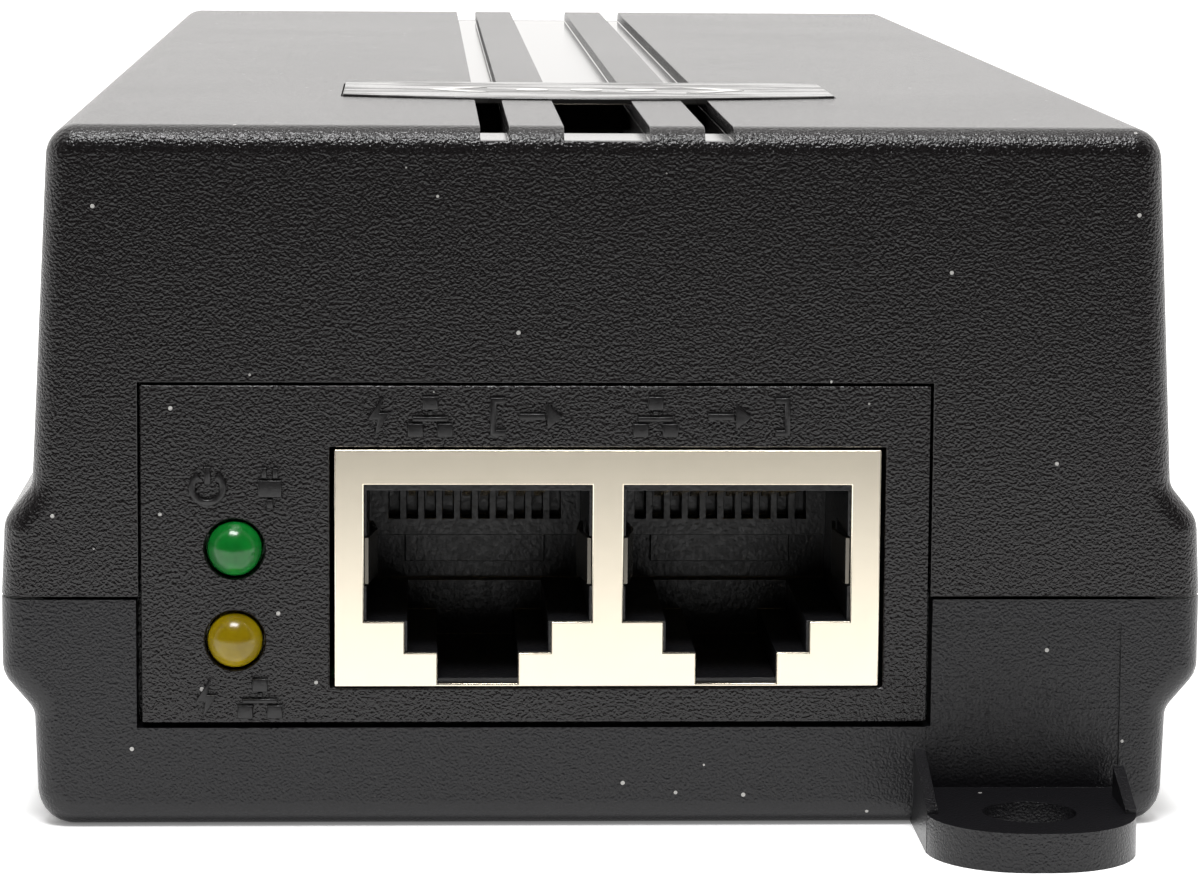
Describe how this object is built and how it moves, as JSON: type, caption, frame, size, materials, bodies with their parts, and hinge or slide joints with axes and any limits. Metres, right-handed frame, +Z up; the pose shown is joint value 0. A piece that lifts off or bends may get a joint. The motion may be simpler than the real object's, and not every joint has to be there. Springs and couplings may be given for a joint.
{
  "type": "poe injector",
  "caption": "Black plastic power-over-Ethernet injector with a shielded two-port network jack, two indicator lamps, a mains inlet and two mounting ears.",
  "frame": {"origin": "on the surface it stands on, under the middle of the case", "axes": "+X right seen from the jack end, +Y towards the mains inlet, +Z up"},
  "size_m": [0.065, 0.162, 0.0381],
  "materials": {
    "base_plastic": "fine moulded grain",
    "cover_plastic": "leather-grained",
    "panel_plastic": "leather-grained",
    "label_plate": "glossy",
    "label_paper": "satin film",
    "screw_steel": "black zinc",
    "shield_tin": "satin tin plate",
    "socket_plastic": "satin",
    "contact_gold": "gold plate",
    "lamp_green": "diffused lens",
    "lamp_amber": "diffused lens",
    "lead_tin": "tinned",
    "board_laminate": "solder mask",
    "insulation_film": "film",
    "fuse_glass": "glass tube",
    "capacitor_sleeve": "sleeve",
    "disc_lacquer": "dipped lacquer",
    "film_capacitor_shell": "moulded shell",
    "chip_epoxy": "epoxy",
    "ferrite": "sintered",
    "copper_wire": "enamelled",
    "winding_tape": "polyester tape",
    "bobbin_plastic": "moulded",
    "heatsink_aluminium": "mill finish"
  },
  "bodies": {
    "case": {"bottom_base": "base_plastic", "top_cover": "cover_plastic", "front_panel": "panel_plastic", "rear_panel": "panel_plastic", "top_label": "label_plate", "rating_label": "label_paper", "case_screws": "screw_steel", "board_screws": "screw_steel", "jack_shield": "shield_tin", "jack_housing": "socket_plastic", "inlet_housing": "socket_plastic", "left_contact_wires": "contact_gold", "right_contact_wires": "contact_gold", "green_lamp": "lamp_green", "amber_lamp": "lamp_amber", "lamp_leads": "lead_tin", "fuse_clips": "lead_tin", "inlet_blades": "lead_tin", "main_board": "board_laminate", "insulating_sheet": "insulation_film", "fuse_link": "fuse_glass", "bulk_capacitor": "capacitor_sleeve", "aux_capacitor": "capacitor_sleeve", "output_capacitors": "capacitor_sleeve", "thermistor": "disc_lacquer", "varistor": "disc_lacquer", "safety_capacitor": "disc_lacquer", "filter_capacitor": "film_capacitor_shell", "bridge_rectifier": "chip_epoxy", "optocoupler": "chip_epoxy", "control_chip": "chip_epoxy", "line_transformer": "chip_epoxy", "port_control_chip": "chip_epoxy", "switching_transistor": "chip_epoxy", "output_diode": "chip_epoxy", "board_resistors": "chip_epoxy", "line_choke_core": "ferrite", "transformer_core": "ferrite", "output_choke": "ferrite", "line_choke_windings": "copper_wire", "transformer_winding": "winding_tape", "transformer_bobbin": "bobbin_plastic", "primary_heatsink": "heatsink_aluminium", "secondary_heatsink": "heatsink_aluminium"},
    "left_contact_bank": {"left_contact_arms": "contact_gold"},
    "right_contact_bank": {"right_contact_arms": "contact_gold"},
    "left_outer_spring": {"left_outer_finger": "shield_tin"},
    "left_inner_spring": {"left_inner_finger": "shield_tin"},
    "right_outer_spring": {"right_outer_finger": "shield_tin"},
    "right_inner_spring": {"right_inner_finger": "shield_tin"}
  },
  "joints": [
    {"name": "left_contacts_flex", "type": "hinge", "parent": "case", "child": "left_contact_bank", "pos_m": [-0.00683, -0.06745, 0.01825], "axis": [1, 0, 0], "range_deg": [0, 6], "stiffness_Nm_per_rad": 0.05},
    {"name": "left_outer_finger_flex", "type": "hinge", "parent": "case", "child": "left_outer_spring", "pos_m": [-0.01282, -0.06973, 0.0146], "axis": [0, 0, 1], "range_deg": [0, 5], "stiffness_Nm_per_rad": 0.01},
    {"name": "left_inner_finger_flex", "type": "hinge", "parent": "case", "child": "left_inner_spring", "pos_m": [-0.00082, -0.06973, 0.0146], "axis": [0, 0, -1], "range_deg": [0, 5], "stiffness_Nm_per_rad": 0.01},
    {"name": "right_contacts_flex", "type": "hinge", "parent": "case", "child": "right_contact_bank", "pos_m": [0.00715, -0.06745, 0.01825], "axis": [1, 0, 0], "range_deg": [0, 6], "stiffness_Nm_per_rad": 0.05},
    {"name": "right_outer_finger_flex", "type": "hinge", "parent": "case", "child": "right_outer_spring", "pos_m": [0.01315, -0.06973, 0.0146], "axis": [0, 0, -1], "range_deg": [0, 5], "stiffness_Nm_per_rad": 0.01},
    {"name": "right_inner_finger_flex", "type": "hinge", "parent": "case", "child": "right_inner_spring", "pos_m": [0.00114, -0.06973, 0.0146], "axis": [0, 0, 1], "range_deg": [0, 5], "stiffness_Nm_per_rad": 0.01}
  ]
}
